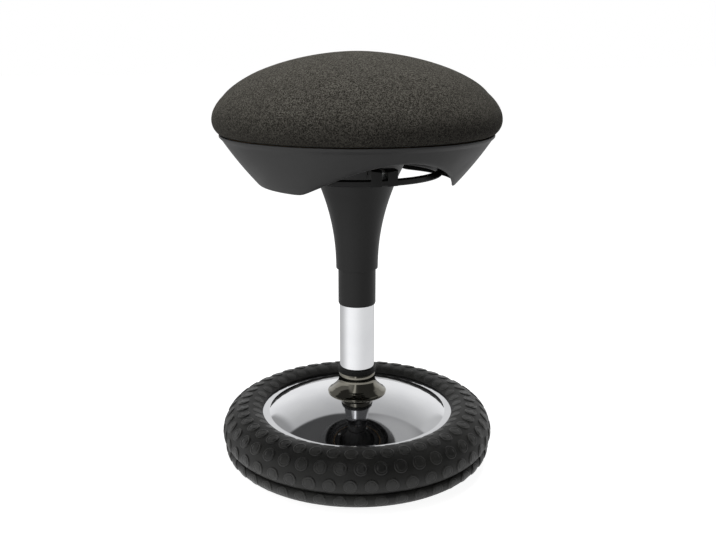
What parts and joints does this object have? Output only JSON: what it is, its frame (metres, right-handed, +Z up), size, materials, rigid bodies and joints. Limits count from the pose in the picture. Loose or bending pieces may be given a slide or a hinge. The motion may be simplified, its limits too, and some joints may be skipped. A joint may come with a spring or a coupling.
{
  "type": "wobble stool",
  "caption": "Height-adjustable wobble stool: domed fabric seat with a release ring on a telescoping chrome column, over a convex rubber-tyred rocking base with a chrome dome.",
  "frame": {"origin": "centre of the sole's flat underside, on the floor", "axes": "+Z up along the column; the front, where the release ring's lever is, faces -Y; +X to the sitter's left seen from the front"},
  "size_m": [0.3969, 0.397, 0.5886],
  "materials": {
    "tyre_rubber": "moulded black rubber, satin studs",
    "black_nylon": "moulded",
    "black_steel": "powder coated",
    "zinc_steel": "zinc plated",
    "chrome": "bright chrome plate",
    "dark_chrome": "dark nickel chrome plate",
    "seal_rubber": "matt rubber",
    "white_acetal": "moulded",
    "bearing_steel": "hardened, ground",
    "ground_steel": "ground and polished",
    "aluminium": "turned",
    "brass": "turned",
    "black_paint": "black lacquer",
    "ring_nylon": "moulded black",
    "black_plastic": "satin moulded black",
    "plywood": "bare plywood",
    "foam": "cut moulded foam",
    "melange_fabric": "charcoal melange weave",
    "shell_plastic": "satin moulded dark grey"
  },
  "bodies": {
    "base": {"rocker_sole": "tyre_rubber", "tyre": "tyre_rubber", "tyre_core": "black_nylon", "base_plate": "black_steel", "sole_screws": "zinc_steel", "hub_socket": "black_steel", "dome_cover": "chrome", "collar_cover": "dark_chrome", "collar_seal": "seal_rubber", "column_tube": "chrome", "guide_bush": "white_acetal", "bearing_lower_race": "bearing_steel"},
    "bearing": {"bearing_balls": "bearing_steel", "ball_cage": "white_acetal"},
    "spindle": {"bearing_upper_race": "bearing_steel", "end_bumper": "seal_rubber", "piston_rod": "ground_steel", "rod_clip": "bearing_steel", "clip_washer": "zinc_steel", "piston": "aluminium", "piston_seal": "seal_rubber", "piston_nut": "zinc_steel"},
    "seat": {"gas_cylinder": "black_paint", "cylinder_guide": "aluminium", "valve_body": "brass", "seat_plate": "black_paint", "plate_hub": "black_paint", "pan_bolts": "zinc_steel", "tee_nuts": "zinc_steel", "lever_pivot_pin": "zinc_steel", "ring_bracket": "black_paint", "ring_hinge_pin": "zinc_steel", "funnel_cover": "black_plastic", "funnel_screws": "zinc_steel", "seat_pan": "plywood", "cushion_foam": "foam", "cushion_cover": "melange_fabric", "seat_shell": "shell_plastic", "shell_screws": "zinc_steel"},
    "sleeve": {"telescopic_sleeve": "black_plastic"},
    "lever": {"lever_arm": "zinc_steel"},
    "ring": {"release_ring": "ring_nylon", "ring_link_pin": "zinc_steel"},
    "button": {"valve_button": "ground_steel"}
  },
  "joints": [
    {"name": "swivel", "type": "hinge", "parent": "base", "child": "spindle", "pos_m": [0, 0, 0.031], "axis": [0, 0, 1], "continuous": true},
    {"name": "bearing_roll", "type": "hinge", "parent": "base", "child": "bearing", "pos_m": [0, 0, 0.03505], "axis": [0, 0, 1], "continuous": true},
    {"name": "height", "type": "slide", "parent": "spindle", "child": "seat", "axis": [0, 0, 1], "range_m": [-0.13, 0]},
    {"name": "sleeve_slide", "type": "slide", "parent": "seat", "child": "sleeve", "axis": [0, 0, 1], "range_m": [0, 0.041]},
    {"name": "ring_tilt", "type": "hinge", "parent": "seat", "child": "ring", "pos_m": [0, 0.102, 0.44], "axis": [-1, 0, 0], "range_deg": [0, 2.35], "stiffness_Nm_per_rad": 40, "springref_deg": -0.69},
    {"name": "lever_tilt", "type": "hinge", "parent": "seat", "child": "lever", "pos_m": [0, -0.028, 0.4598], "axis": [-1, 0, 0], "range_deg": [0, 6.6]},
    {"name": "button_press", "type": "slide", "parent": "seat", "child": "button", "axis": [0, 0, -1], "range_m": [0, 0.0033]}
  ],
  "couplings": [
    {"joint": "bearing_roll", "follows": "swivel", "ratio": 0.5},
    {"joint": "sleeve_slide", "follows": "height", "ratio": -0.3077},
    {"joint": "lever_tilt", "follows": "ring_tilt", "ratio": 2.7568},
    {"joint": "button_press", "follows": "ring_tilt", "m_per_rad": 0.07719}
  ]
}
